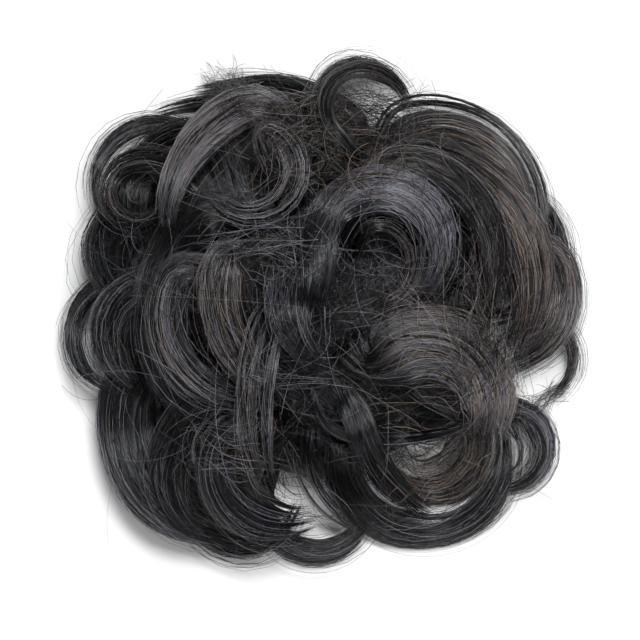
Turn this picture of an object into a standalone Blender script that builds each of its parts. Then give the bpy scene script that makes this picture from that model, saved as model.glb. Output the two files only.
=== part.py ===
"""A top knot hairpiece: curled locks over an under layer of hair, on a domed net cap with an elastic rim.

Metres, +Z up. The cap opens downwards at z = 0. The photograph's view is straight down, with its top along +Y.
"""
import math
from collections import namedtuple

import bmesh
import bpy
import numpy as np
from mathutils.bvhtree import BVHTree

MM = 0.001

# Overall sizes
HAIR_RADIUS = 77.5 * MM
CAP_RADIUS = 39.0 * MM
CAP_HEIGHT = 21.0 * MM
CAP_WALL = 1.6 * MM
RIM_HEIGHT = 4.5 * MM
RIM_WALL = 2.4 * MM
UNDER_DEPTH = 15.0 * MM
UNDER_RADIUS = CAP_RADIUS + UNDER_DEPTH
UNDER_SHIFT = 5.0 * MM
UNDER_SHIFT_TOWARDS = 100
UNDER_WAVE = 1.8 * MM
UNDER_WAVES = 7
UNDER_WALL = 2.6 * MM
UNDER_BASE = 1.5 * MM
LOCK_HALF_WIDTH = 6.0 * MM
LOCK_HALF_THICKNESS = 1.05 * MM
LOCK_LIFT = 10.0 * MM

# Clearances
SEAM_GAP = 0.3 * MM
LAY_GAP = 0.35 * MM
LAY_STEP = 0.25 * MM
LAY_TRIES = 24

# Mesh fineness
CAP_SEGMENTS = 28
CAP_RINGS = 4
UNDER_RINGS = 5
LOCK_STATIONS = 17
LOCK_SIDES = 6
CURVE_POINTS = 64
SAMPLES_PER_SPAN = 8
SECTION_SAMPLES = 52
GRID_CELL = 0.5 * MM
GRID_REACH = 1.25

# How a lock narrows from its middle to its two ends, and how much of a bend's radius its half width may take
ROOT_WIDTH = 0.55
ROOT_SHARE = 0.25
TIP_WIDTH = 0.4
TIP_SHARE = 0.3
BEND_SHARE = 0.8
STRAIGHT = 1e-6
LEAD_HANDLE = 0.42

# The steepest that a lock climbs or falls, rise over run, as a springy curl bridges what it lies on
STEEPEST = 0.75

HAIR_BLACK = "17171a"
NET_BLACK = "101012"
ELASTIC_BLACK = "0c0c0d"

# One row for each lock, in the order in which they lie, lowest first. Each leaves its root and runs into an arc.
# ring: the root's distance from the middle, a share of CAP_RADIUS. root: its direction in degrees.
# x, y, radius: the arc's centre and radius, shares of HAIR_RADIUS. start, sweep: degrees, + is anticlockwise.
# grow: the radius at the tip over that at the start. width: a share of LOCK_HALF_WIDTH.
# lean: how far the band's inner edge is tipped up, in degrees.
# lift: how high it arches over what it lies on, a share of LOCK_LIFT.
Lock = namedtuple("Lock", "name ring root x y radius start sweep grow width lean lift")
LOCKS = (
    Lock("side_loop_right", 0.93, -4, 0.84, -0.18, 0.16, 55, -125, 1.0, 0.50, 60, 0.3),
    Lock("lower_right_loop", 0.93, -22, 0.73, -0.53, 0.165, 95, -205, 1.0, 0.70, 50, 0.2),
    Lock("bottom_loop", 0.93, 252, -0.02, -0.73, 0.22, 178, 172, 1.0, 0.80, 50, 0.2),
    Lock("lower_left_loop", 0.93, 234, -0.31, -0.70, 0.23, 187, 165, 1.0, 0.75, 50, 0.2),
    Lock("lower_left_inner_sweep", 0.93, 215, -0.31, -0.47, 0.29, 165, 100, 1.0, 1.30, 12, 0.0),
    Lock("lower_left_sweep", 0.93, 203, -0.31, -0.42, 0.46, 160, 105, 1.0, 1.35, 12, 0.0),
    Lock("left_loop", 0.93, 172, -0.76, -0.09, 0.21, 95, 165, 1.0, 0.70, 55, 0.3),
    Lock("left_bulge", 0.93, 150, -0.58, 0.24, 0.24, 120, 120, 1.0, 1.40, 20, 0.0),
    Lock("upper_left_loop", 0.93, 128, -0.635, 0.50, 0.25, 62, 150, 1.0, 0.60, 55, 0.2),
    Lock("top_left_tip", 0.93, 100, -0.35, 0.05, 0.77, 65, 48, 1.0, 0.60, 25, 0.0),
    Lock("top_tuft", 0.93, 88, -0.30, 0.085, 0.80, 58, 46, 1.0, 0.70, 25, 0.0),
    Lock("top_loop", 0.93, 74, 0.17, 0.78, 0.18, 172, -165, 1.0, 0.75, 55, 0.3),
    Lock("right_shoulder", 0.93, 34, 0.66, 0.22, 0.28, 78, -115, 1.0, 0.85, 40, 0.0),
    Lock("upper_right_sweep", 0.93, 58, 0.43, 0.38, 0.43, 108, -160, 1.0, 0.60, 35, 0.2),
    Lock("right_flank", 0.93, 14, 0.68, 0.10, 0.27, 20, -105, 1.2, 1.00, 35, 0.0),
    Lock("lower_ring", 0.93, -80, 0.40, -0.55, 0.33, 192, 186, 1.0, 0.90, 40, 0.0),
    Lock("upper_left_fill", 0.75, 132, -0.48, 0.42, 0.26, 95, 130, 1.0, 1.10, 15, 0.0),
    Lock("left_ring", 0.75, 138, -0.70, 0.46, 0.14, 80, 270, 0.85, 0.60, 35, 0.1),
    Lock("left_inner_loop", 0.75, 172, -0.60, -0.10, 0.21, 110, 130, 1.0, 1.10, 20, 0.1),
    Lock("left_fall", 0.75, 130, 0.04, -0.03, 0.65, 142, 82, 1.0, 1.30, 12, 0.0),
    Lock("lower_left_fall", 0.75, 215, -0.31, -0.61, 0.28, 150, 90, 1.0, 1.00, 18, 0.0),
    Lock("lower_left_ring", 0.75, 232, -0.34, -0.53, 0.12, 160, 270, 0.85, 0.50, 35, 0.1),
    Lock("bottom_fill", 0.75, 250, -0.12, -0.58, 0.24, 175, 120, 1.0, 1.20, 15, 0.0),
    Lock("bottom_strand", 0.75, 262, 0.29, -0.53, 0.34, 165, 80, 1.0, 0.60, 30, 0.0),
    Lock("lower_inner_ring", 0.75, -38, 0.44, -0.52, 0.19, 75, -250, 1.0, 0.80, 25, 0.0),
    Lock("upper_left_fall", 0.75, 106, -0.08, 0.34, 0.50, 112, 71, 1.0, 1.00, 12, 0.2),
    Lock("upper_left_ring", 0.75, 104, -0.26, 0.54, 0.18, 70, -222, 1.0, 0.50, 30, 0.2),
    Lock("upper_right_fill", 0.75, 50, 0.46, 0.36, 0.30, 105, -125, 1.0, 1.20, 15, 0.0),
    Lock("right_fall", 0.75, 66, 0.31, 0.09, 0.51, 85, -115, 1.0, 1.25, 12, 0.0),
    Lock("left_sweep", 0.50, 175, -0.27, -0.01, 0.33, 150, 125, 1.0, 0.90, 18, 0.1),
    Lock("lower_strap", 0.50, -95, 0.25, 0.28, 0.77, 260, 42, 1.0, 0.30, 15, 0.0),
    Lock("lower_dark_fall", 0.50, -75, 0.62, -0.34, 0.48, 192, 55, 1.0, 0.70, 20, 0.0),
    Lock("right_inner_sweep", 0.50, 60, 0.29, 0.20, 0.38, 85, -120, 1.0, 0.90, 18, 0.1),
    Lock("middle_left_fall", 0.50, 195, 0.04, 0.07, 0.43, 155, 85, 1.0, 1.20, 12, 0.1),
    Lock("middle_fall", 0.22, 210, 0.70, -0.34, 0.95, 157, 45, 1.0, 0.85, 12, 0.0),
    Lock("crown_left_fall", 0.22, 150, 0.19, 0.05, 0.32, 135, 100, 1.0, 1.00, 15, 0.1),
    Lock("crown_tip", 0.22, 120, -0.19, -0.07, 0.30, 50, 62, 1.0, 0.80, 10, 0.0),
    Lock("crown_inner_curl", 0.22, 60, 0.21, 0.19, 0.16, 80, -170, 1.0, 0.60, 35, 0.2),
    Lock("barrel_curl", 0.25, -40, 0.41, -0.38, 0.27, 140, -165, 0.85, 1.90, 10, 0.4),
    Lock("crown_ring", 0.08, 150, 0.225, 0.25, 0.24, 205, -260, 1.0, 1.10, 35, 0.3),
)


def clear_scene():
    for obj in list(bpy.data.objects):
        bpy.data.objects.remove(obj, do_unlink=True)


def linear_colour(hex_colour):
    """The linear RGBA of an sRGB hex colour."""
    shares = [int(hex_colour[i:i + 2], 16) / 255 for i in (0, 2, 4)]
    linear = [s / 12.92 if s <= 0.04045 else ((s + 0.055) / 1.055) ** 2.4 for s in shares]
    return (*linear, 1.0)


def material(name, hex_colour, roughness):
    made = bpy.data.materials.new(name)
    made.use_nodes = True
    shader = made.node_tree.nodes["Principled BSDF"]
    shader.inputs["Base Color"].default_value = linear_colour(hex_colour)
    shader.inputs["Roughness"].default_value = roughness
    shader.inputs["Metallic"].default_value = 0.0
    made.diffuse_color = linear_colour(hex_colour)
    return made


def mesh_object(name, points, faces, surface):
    """One closed mesh object with its faces turned outwards and shaded smooth."""
    shape = bmesh.new()
    corners = [shape.verts.new(point) for point in points]
    for face in faces:
        shape.faces.new([corners[i] for i in face])
    bmesh.ops.recalc_face_normals(shape, faces=shape.faces)
    if shape.calc_volume(signed=True) < 0:
        bmesh.ops.reverse_faces(shape, faces=shape.faces)
    mesh = bpy.data.meshes.new(name)
    shape.to_mesh(mesh)
    shape.free()
    mesh.materials.append(surface)
    mesh.polygons.foreach_set("use_smooth", [True] * len(mesh.polygons))
    obj = bpy.data.objects.new(name, mesh)
    bpy.context.scene.collection.objects.link(obj)
    return obj


def ring_turns():
    return np.linspace(0, 2 * math.pi, CAP_SEGMENTS, endpoint=False)


def build_rim(surface):
    """A flat band with bevelled edges, turned about Z."""
    inner = CAP_RADIUS - RIM_WALL
    edge = RIM_WALL / 4
    profile = (
        (inner + edge, 0.0),
        (CAP_RADIUS - edge, 0.0),
        (CAP_RADIUS, edge),
        (CAP_RADIUS, RIM_HEIGHT - edge),
        (CAP_RADIUS - edge, RIM_HEIGHT),
        (inner + edge, RIM_HEIGHT),
        (inner, RIM_HEIGHT - edge),
        (inner, edge),
    )
    points = [(r * math.cos(t), r * math.sin(t), z) for t in ring_turns() for r, z in profile]
    count = len(profile)
    faces = []
    for i in range(CAP_SEGMENTS):
        here, there = i * count, (i + 1) % CAP_SEGMENTS * count
        for j in range(count):
            k = (j + 1) % count
            faces.append((here + j, there + j, there + k, here + k))
    return mesh_object("elastic_rim", points, faces, surface)


def shell(name, outer, outer_top, inner, inner_top, surface):
    """A closed domed solid, open below, through outer and inner rings of points, each list from low to high."""
    points = [point for ring in outer + inner for point in ring] + [outer_top, inner_top]
    top_of_outer, top_of_inner = len(points) - 2, len(points) - 1
    first_inner = len(outer) * CAP_SEGMENTS
    last_outer = first_inner - CAP_SEGMENTS
    last_inner = (len(outer) + len(inner) - 1) * CAP_SEGMENTS
    faces = []
    for i in range(CAP_SEGMENTS):
        j = (i + 1) % CAP_SEGMENTS
        for ring in list(range(len(outer) - 1)) + list(range(len(outer), len(outer) + len(inner) - 1)):
            low, high = ring * CAP_SEGMENTS, (ring + 1) * CAP_SEGMENTS
            faces.append((low + i, low + j, high + j, high + i))
        faces.append((last_outer + i, last_outer + j, top_of_outer))
        faces.append((last_inner + j, last_inner + i, top_of_inner))
        faces.append((i, j, first_inner + j, first_inner + i))
    return mesh_object(name, points, faces, surface)


def cap_ring(angle, offset):
    """One ring of the cap's outer dome at an angle of its climb, moved outwards by an offset."""
    reach = (CAP_RADIUS + offset) * math.cos(angle)
    height = RIM_HEIGHT + SEAM_GAP + (CAP_HEIGHT + offset) * math.sin(angle)
    return [(reach * math.cos(t), reach * math.sin(t), height) for t in ring_turns()]


def climb_angles(rings):
    return np.linspace(0, math.pi / 2, rings, endpoint=False)


def build_cap(surface):
    outer = [cap_ring(angle, 0.0) for angle in climb_angles(CAP_RINGS)]
    inner = [cap_ring(angle, -CAP_WALL) for angle in climb_angles(CAP_RINGS)]
    top = RIM_HEIGHT + SEAM_GAP + CAP_HEIGHT
    return shell("net_cap", outer, (0, 0, top), inner, (0, 0, top - CAP_WALL), surface)


def under_edge(turn):
    """The radius of the under layer's edge in a direction: drawn out to one side, and waved."""
    shift = UNDER_SHIFT * math.cos(turn - math.radians(UNDER_SHIFT_TOWARDS))
    return UNDER_RADIUS + shift + UNDER_WAVE * math.sin(UNDER_WAVES * turn)


def build_under_layer(surface):
    """The mass of hair round the cap: its inside follows the cap, and its outside is a wider waved dome."""
    inner_top = RIM_HEIGHT + SEAM_GAP + CAP_HEIGHT + SEAM_GAP
    rise = inner_top + UNDER_WALL - UNDER_BASE
    outer = []
    for angle in climb_angles(UNDER_RINGS):
        height = UNDER_BASE + rise * math.sin(angle)
        reach = math.cos(angle)
        outer.append([(under_edge(t) * reach * math.cos(t), under_edge(t) * reach * math.sin(t), height)
                      for t in ring_turns()])
    skirt = [(x, y, UNDER_BASE) for x, y, _ in cap_ring(0.0, SEAM_GAP)]
    inner = [skirt] + [cap_ring(angle, SEAM_GAP) for angle in climb_angles(CAP_RINGS)]
    return shell("under_layer", outer, (0, 0, UNDER_BASE + rise), inner, (0, 0, inner_top), surface)


def direction(degrees):
    return np.array([math.cos(math.radians(degrees)), math.sin(math.radians(degrees))])


def run_along(path):
    """The length from the path's first point to each of its points."""
    return np.concatenate([[0], np.cumsum(np.linalg.norm(np.diff(path, axis=0), axis=1))])


def plan_path(lock):
    """The lock's centre line seen from above: a Bezier lead from its root, then its arc, evenly spaced."""
    root = direction(lock.root) * lock.ring * CAP_RADIUS
    centre = np.array([lock.x, lock.y]) * HAIR_RADIUS
    share = np.linspace(0, 1, CURVE_POINTS)[:, None]
    angle = np.radians(lock.start + lock.sweep * share)
    radius = lock.radius * HAIR_RADIUS * (1 + (lock.grow - 1) * share)
    arc = centre + radius * np.hstack([np.cos(angle), np.sin(angle)])
    heading = arc[1] - arc[0]
    heading = heading / np.linalg.norm(heading)
    handle = LEAD_HANDLE * np.linalg.norm(arc[0] - root)
    near = root + direction(lock.root) * handle
    far = arc[0] - heading * handle
    left = 1 - share
    lead = left**3 * root + 3 * left**2 * share * near + 3 * left * share**2 * far + share**3 * arc[0]
    path = np.vstack([lead[:-1], arc])
    length = run_along(path)
    even = np.linspace(0, length[-1], LOCK_STATIONS)
    return np.column_stack([np.interp(even, length, path[:, i]) for i in (0, 1)])


def smooth_step(share):
    share = np.clip(share, 0, 1)
    return share * share * (3 - 2 * share)


def lock_frame(lock):
    """Plan points, outward side vectors and half widths at the stations of a lock."""
    path = plan_path(lock)
    along = np.gradient(path, axis=0)
    spacing = np.linalg.norm(along, axis=1, keepdims=True)
    along = along / spacing
    side = math.copysign(1, lock.sweep) * np.column_stack([along[:, 1], -along[:, 0]])
    share = np.linspace(0, 1, LOCK_STATIONS)
    width = ROOT_WIDTH + (1 - ROOT_WIDTH) * smooth_step(share / ROOT_SHARE)
    width = width * (1 - (1 - TIP_WIDTH) * smooth_step((share - 1 + TIP_SHARE) / TIP_SHARE))
    width = width * lock.width * LOCK_HALF_WIDTH
    turn = np.linalg.norm(np.gradient(along, axis=0), axis=1)
    bend = spacing[:, 0] / np.maximum(turn, STRAIGHT)
    width = np.minimum(width, BEND_SHARE * bend / math.cos(math.radians(lock.lean)))
    return path, side, width


def section(width, lean, count):
    """Sideways and upward offsets of a leaning flat section of each half width, as two arrays."""
    around = np.linspace(0, 2 * math.pi, count, endpoint=False)
    wide = np.outer(width, np.cos(around))
    thick = np.outer(np.full_like(width, LOCK_HALF_THICKNESS), np.sin(around))
    cosine, sine = math.cos(math.radians(lean)), math.sin(math.radians(lean))
    return wide * cosine + thick * sine, thick * cosine - wide * sine


class HeightMap:
    """The height of all that has been laid so far, on a square grid over the floor."""

    def __init__(self):
        self.reach = GRID_REACH * HAIR_RADIUS
        self.count = int(2 * self.reach / GRID_CELL) + 1
        self.height = np.zeros((self.count, self.count))

    def cells(self, points):
        index = np.rint((points + self.reach) / GRID_CELL).astype(int)
        index = np.clip(index, 0, self.count - 1)
        return index[..., 0], index[..., 1]

    def raise_to(self, points, heights):
        """Raises the cells under the points, and those beside them, to at least the heights."""
        for dx in (-1, 0, 1):
            for dy in (-1, 0, 1):
                shifted = points + np.array([dx, dy]) * GRID_CELL / 2
                np.maximum.at(self.height, self.cells(shifted), heights)

    def at(self, points):
        return self.height[self.cells(points)]


def between_stations(values):
    """Values at stations, filled in linearly at the samples of every span."""
    stations = np.arange(LOCK_STATIONS)
    fine = np.linspace(0, LOCK_STATIONS - 1, (LOCK_STATIONS - 1) * SAMPLES_PER_SPAN + 1)
    flat = values.reshape(LOCK_STATIONS, -1)
    filled = np.column_stack([np.interp(fine, stations, column) for column in flat.T])
    return filled.reshape(len(fine), *values.shape[1:])


def skin_samples(path, side, width, lean):
    """Plan points and upward offsets all over a lock's skin, along its straight spans."""
    across, up = section(width, lean, SECTION_SAMPLES)
    middle, sideways = between_stations(path), between_stations(side)
    return middle[:, None, :] + between_stations(across)[:, :, None] * sideways[:, None, :], between_stations(up)


def laid_heights(lock, path, side, width, ground):
    """The lowest centre heights at the stations that keep every span of the lock above the ground."""
    points, up = skin_samples(path, side, width, lock.lean)
    needed = (np.maximum(ground.at(points) + LAY_GAP, 0) - up).max(axis=1)
    reach = SAMPLES_PER_SPAN
    middles = np.arange(LOCK_STATIONS) * reach
    heights = np.array([needed[max(0, m - reach):m + reach + 1].max() for m in middles])
    run = run_along(path)
    heights = (heights - STEEPEST * np.abs(run[:, None] - run)).max(axis=1)
    share = np.linspace(0, 1, LOCK_STATIONS)
    return heights + lock.lift * LOCK_LIFT * np.sin(math.pi * share) ** 2


def lock_mesh(path, side, width, lean, heights):
    """Points and faces of a closed flattened tube through the stations."""
    across, up = section(width, lean, LOCK_SIDES)
    flat = path[:, None, :] + across[:, :, None] * side[:, None, :]
    points = np.concatenate([flat, (heights[:, None] + up)[:, :, None]], axis=2).reshape(-1, 3)
    faces = []
    for i in range(LOCK_STATIONS - 1):
        for j in range(LOCK_SIDES):
            k = (j + 1) % LOCK_SIDES
            low, high = i * LOCK_SIDES, (i + 1) * LOCK_SIDES
            faces.append((low + j, high + j, high + k))
            faces.append((low + j, high + k, low + k))
    last = (LOCK_STATIONS - 1) * LOCK_SIDES
    faces.append(tuple(range(LOCK_SIDES - 1, -1, -1)))
    faces.append(tuple(range(last, last + LOCK_SIDES)))
    return points, faces


def mark_ground(path, side, width, lean, heights, ground):
    """Raises the ground to the top of a lock."""
    points, up = skin_samples(path, side, width, lean)
    ground.raise_to(points, between_stations(heights)[:, None] + up)


def build_lock(lock, ground, trees, surface):
    """Lays a lock on the ground, raises it where a facet would still cut a neighbour, and makes its object."""
    path, side, width = lock_frame(lock)
    heights = laid_heights(lock, path, side, width, ground)
    for _ in range(LAY_TRIES):
        points, faces = lock_mesh(path, side, width, lock.lean, heights)
        tree = BVHTree.FromPolygons(points.tolist(), faces)
        cut = {hit[0] // (2 * LOCK_SIDES) for other in trees for hit in tree.overlap(other)}
        if not cut:
            break
        for span in cut:
            span = min(span, LOCK_STATIONS - 2)
            heights[span:span + 2] += LAY_STEP
    trees.append(tree)
    mark_ground(path, side, width, lock.lean, heights, ground)
    return mesh_object("lock_" + lock.name, points.tolist(), faces, surface)


def tree_of(obj):
    points = [vertex.co[:] for vertex in obj.data.vertices]
    return BVHTree.FromPolygons(points, [polygon.vertices[:] for polygon in obj.data.polygons])


def ground_over(tree, reach):
    """The height map of a bare solid that lies within reach of the middle."""
    ground = HeightMap()
    line = np.arange(-reach, reach, GRID_CELL)
    over = GRID_REACH * HAIR_RADIUS
    places = [(x, y) for x in line for y in line]
    hits = [tree.ray_cast((x, y, over), (0, 0, -1))[0] for x, y in places]
    ground.raise_to(np.array(places), np.array([hit[2] if hit else 0.0 for hit in hits]))
    return ground


def main():
    clear_scene()
    rim = build_rim(material("elastic", ELASTIC_BLACK, 0.8))
    cap = build_cap(material("net", NET_BLACK, 0.7))
    hair = material("hair", HAIR_BLACK, 0.35)
    trees = [tree_of(piece) for piece in (rim, cap, build_under_layer(hair))]
    ground = ground_over(trees[-1], UNDER_RADIUS + UNDER_SHIFT + UNDER_WAVE)
    for lock in LOCKS:
        build_lock(lock, ground, trees, hair)


main()
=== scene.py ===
import logging
import math
from dataclasses import dataclass
from enum import Enum
from typing import NamedTuple

import bpy
import numpy as np
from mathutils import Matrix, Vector
from mathutils.bvhtree import BVHTree


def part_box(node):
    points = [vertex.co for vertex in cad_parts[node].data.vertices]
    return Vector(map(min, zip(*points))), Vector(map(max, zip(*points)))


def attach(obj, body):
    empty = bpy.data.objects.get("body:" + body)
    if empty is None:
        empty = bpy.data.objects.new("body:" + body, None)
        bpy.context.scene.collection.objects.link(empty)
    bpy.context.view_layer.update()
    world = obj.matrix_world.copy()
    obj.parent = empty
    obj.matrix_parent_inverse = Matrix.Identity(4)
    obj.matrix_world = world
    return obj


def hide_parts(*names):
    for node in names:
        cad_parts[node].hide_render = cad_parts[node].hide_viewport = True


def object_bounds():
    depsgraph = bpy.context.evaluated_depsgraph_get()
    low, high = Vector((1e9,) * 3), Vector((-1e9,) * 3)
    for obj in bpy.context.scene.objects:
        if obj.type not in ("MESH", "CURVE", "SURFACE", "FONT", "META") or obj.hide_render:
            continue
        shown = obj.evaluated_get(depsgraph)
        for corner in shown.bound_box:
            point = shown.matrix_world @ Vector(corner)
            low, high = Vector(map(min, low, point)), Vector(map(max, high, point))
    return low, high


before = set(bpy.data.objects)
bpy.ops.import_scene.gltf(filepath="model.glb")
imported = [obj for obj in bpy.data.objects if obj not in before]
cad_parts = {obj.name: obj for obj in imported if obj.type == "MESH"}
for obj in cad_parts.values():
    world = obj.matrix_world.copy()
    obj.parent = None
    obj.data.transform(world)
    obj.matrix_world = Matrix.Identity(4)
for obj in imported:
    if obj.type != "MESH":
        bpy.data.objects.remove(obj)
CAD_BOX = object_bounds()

LOG = logging.getLogger("hairpiece")

MM = 0.001
TURN = 2 * math.pi
HAIR_RADIUS = 77.5 * MM
CAP_RADIUS = (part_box("net_cap")[1].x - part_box("net_cap")[0].x) / 2

# A ray that starts this far inside a packed lock meets the lock's other side.
THINNEST = 0.2 * MM

# The image that the camera is framed for: its side in pixels, the real size of a pixel at the curls' height,
# and the pixel where the middle of the cap lies.
IMAGE_SIDE = 640
PIXEL = 0.3 * MM
MIDDLE_PIXEL = (320, 312)


class Body(Enum):
    """How much hair a lock holds, from a thick band to a few wisps that light passes between.

    A nested one has loose hair inside its bend too.
    """

    FULL = "full"
    LOOSE = "loose"
    NESTED = "nested"
    WISPY = "wispy"


class Lock(NamedTuple):
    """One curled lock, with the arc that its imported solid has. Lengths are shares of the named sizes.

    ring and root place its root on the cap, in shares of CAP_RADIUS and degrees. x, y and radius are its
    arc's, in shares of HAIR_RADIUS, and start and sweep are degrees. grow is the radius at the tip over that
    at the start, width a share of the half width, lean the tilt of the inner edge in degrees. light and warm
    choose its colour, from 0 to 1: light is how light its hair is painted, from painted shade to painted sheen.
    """

    name: str
    ring: float
    root: float
    x: float
    y: float
    radius: float
    start: float
    sweep: float
    grow: float
    width: float
    lean: float
    body: Body
    light: float
    warm: float


FULL, LOOSE, NESTED, WISPY = Body.FULL, Body.LOOSE, Body.NESTED, Body.WISPY

# The locks in the order in which they lie, lowest first.
LOCKS: tuple[Lock, ...] = (
    Lock("side_loop_right", 0.93, -4, 0.84, -0.18, 0.16, 55, -125, 1.0, 0.50, 60, WISPY, 0.35, 0.3),
    Lock("lower_right_loop", 0.93, -22, 0.73, -0.53, 0.165, 95, -205, 1.0, 0.70, 50, NESTED, 0.45, 0.0),
    Lock("bottom_loop", 0.93, 252, -0.02, -0.73, 0.22, 178, 172, 1.0, 0.80, 50, LOOSE, 0.3, 0.1),
    Lock("lower_left_loop", 0.93, 234, -0.31, -0.70, 0.23, 187, 165, 1.0, 0.75, 50, LOOSE, 0.3, 0.1),
    Lock("lower_left_inner_sweep", 0.93, 215, -0.31, -0.47, 0.29, 165, 100, 1.0, 1.30, 12, LOOSE, 0.3, 0.1),
    Lock("lower_left_sweep", 0.93, 203, -0.31, -0.42, 0.46, 160, 105, 1.0, 1.35, 12, FULL, 0.25, 0.0),
    Lock("left_loop", 0.93, 172, -0.76, -0.09, 0.21, 95, 165, 1.0, 0.70, 55, LOOSE, 0.25, 0.0),
    Lock("left_bulge", 0.93, 150, -0.58, 0.24, 0.24, 120, 120, 1.0, 1.40, 20, FULL, 0.15, 0.0),
    Lock("upper_left_loop", 0.93, 128, -0.635, 0.50, 0.25, 62, 150, 1.0, 0.60, 55, WISPY, 0.3, 0.2),
    Lock("top_left_tip", 0.93, 100, -0.35, 0.05, 0.77, 65, 48, 1.0, 0.60, 25, LOOSE, 0.2, 0.3),
    Lock("top_tuft", 0.93, 88, -0.30, 0.085, 0.80, 58, 46, 1.0, 0.70, 25, LOOSE, 0.3, 0.6),
    Lock("top_loop", 0.93, 74, 0.17, 0.78, 0.18, 172, -165, 1.0, 0.75, 55, LOOSE, 0.35, 0.5),
    Lock("right_shoulder", 0.93, 34, 0.66, 0.22, 0.28, 78, -115, 1.0, 0.85, 40, FULL, 0.3, 0.2),
    Lock("upper_right_sweep", 0.93, 58, 0.43, 0.38, 0.43, 108, -160, 1.0, 0.60, 35, WISPY, 0.2, 0.2),
    Lock("right_flank", 0.93, 14, 0.68, 0.10, 0.27, 20, -105, 1.2, 1.00, 35, NESTED, 0.6, 0.4),
    Lock("lower_ring", 0.93, -80, 0.40, -0.55, 0.33, 192, 186, 1.0, 0.90, 40, LOOSE, 0.4, 0.1),
    Lock("upper_left_fill", 0.75, 132, -0.48, 0.42, 0.26, 95, 130, 1.0, 1.10, 15, FULL, 0.15, 0.3),
    Lock("left_ring", 0.75, 138, -0.70, 0.46, 0.14, 80, 270, 0.85, 0.60, 35, LOOSE, 0.4, 0.4),
    Lock("left_inner_loop", 0.75, 172, -0.60, -0.10, 0.21, 110, 130, 1.0, 1.10, 20, FULL, 0.35, 0.1),
    Lock("left_fall", 0.75, 130, 0.04, -0.03, 0.65, 142, 82, 1.0, 1.30, 12, FULL, 0.35, 0.2),
    Lock("lower_left_fall", 0.75, 215, -0.31, -0.61, 0.28, 150, 90, 1.0, 1.00, 18, LOOSE, 0.4, 0.2),
    Lock("lower_left_ring", 0.75, 232, -0.34, -0.53, 0.12, 160, 270, 0.85, 0.50, 35, WISPY, 0.9, 0.3),
    Lock("bottom_fill", 0.75, 250, -0.12, -0.58, 0.24, 175, 120, 1.0, 1.20, 15, LOOSE, 0.35, 0.1),
    Lock("bottom_strand", 0.75, 262, 0.29, -0.53, 0.34, 165, 80, 1.0, 0.60, 30, WISPY, 0.4, 0.1),
    Lock("lower_inner_ring", 0.75, -38, 0.44, -0.52, 0.19, 75, -250, 1.0, 0.80, 25, NESTED, 0.6, 0.6),
    Lock("upper_left_fall", 0.75, 106, -0.08, 0.34, 0.50, 112, 71, 1.0, 1.00, 12, FULL, 0.75, 0.2),
    Lock("upper_left_ring", 0.75, 104, -0.26, 0.54, 0.18, 70, -222, 1.0, 0.50, 30, WISPY, 0.7, 0.1),
    Lock("upper_right_fill", 0.75, 50, 0.46, 0.36, 0.30, 105, -125, 1.0, 1.20, 15, LOOSE, 0.5, 0.7),
    Lock("right_fall", 0.75, 66, 0.31, 0.09, 0.51, 85, -115, 1.0, 1.25, 12, FULL, 0.62, 0.6),
    Lock("left_sweep", 0.50, 175, -0.27, -0.01, 0.33, 150, 125, 1.0, 0.90, 18, LOOSE, 0.55, 0.2),
    Lock("lower_strap", 0.50, -95, 0.25, 0.28, 0.77, 260, 42, 1.0, 0.30, 15, FULL, 0.1, 0.0),
    Lock("lower_dark_fall", 0.50, -75, 0.62, -0.34, 0.48, 192, 55, 1.0, 0.70, 20, FULL, 0.15, 0.0),
    Lock("right_inner_sweep", 0.50, 60, 0.29, 0.20, 0.38, 85, -120, 1.0, 0.90, 18, FULL, 0.35, 0.3),
    Lock("middle_left_fall", 0.50, 195, 0.04, 0.07, 0.43, 155, 85, 1.0, 1.20, 12, FULL, 0.5, 0.4),
    Lock("middle_fall", 0.22, 210, 0.70, -0.34, 0.95, 157, 45, 1.0, 0.85, 12, WISPY, 0.5, 0.3),
    Lock("crown_left_fall", 0.22, 150, 0.19, 0.05, 0.32, 135, 100, 1.0, 1.00, 15, LOOSE, 0.5, 0.0),
    Lock("crown_tip", 0.22, 120, -0.19, -0.07, 0.30, 50, 62, 1.0, 0.80, 10, WISPY, 0.5, 0.1),
    Lock("crown_inner_curl", 0.22, 60, 0.21, 0.19, 0.16, 80, -170, 1.0, 0.60, 35, WISPY, 0.5, 0.3),
    Lock("barrel_curl", 0.25, -40, 0.41, -0.38, 0.27, 140, -165, 0.85, 1.90, 10, FULL, 0.82, 0.45),
    Lock("crown_ring", 0.08, 150, 0.225, 0.25, 0.24, 205, -260, 1.0, 1.10, 35, FULL, 0.8, 0.0),
)


class Patch(NamedTuple):
    """A place where short hair frizzes up between the curls. Lengths are shares of HAIR_RADIUS.

    heading is the way that most of its hairs run, in degrees, and spread how far they stray from it. curl
    multiplies how much they bend, and longest is the longest hair's length. light is how light its hairs are
    painted, from painted shade to painted sheen, and warm how brown they are, both from 0 to 1.
    """

    x: float
    y: float
    radius: float
    hairs: int
    heading: float
    spread: float
    light: float
    warm: float
    curl: float = 1.0
    longest: float = 38 * MM


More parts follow.
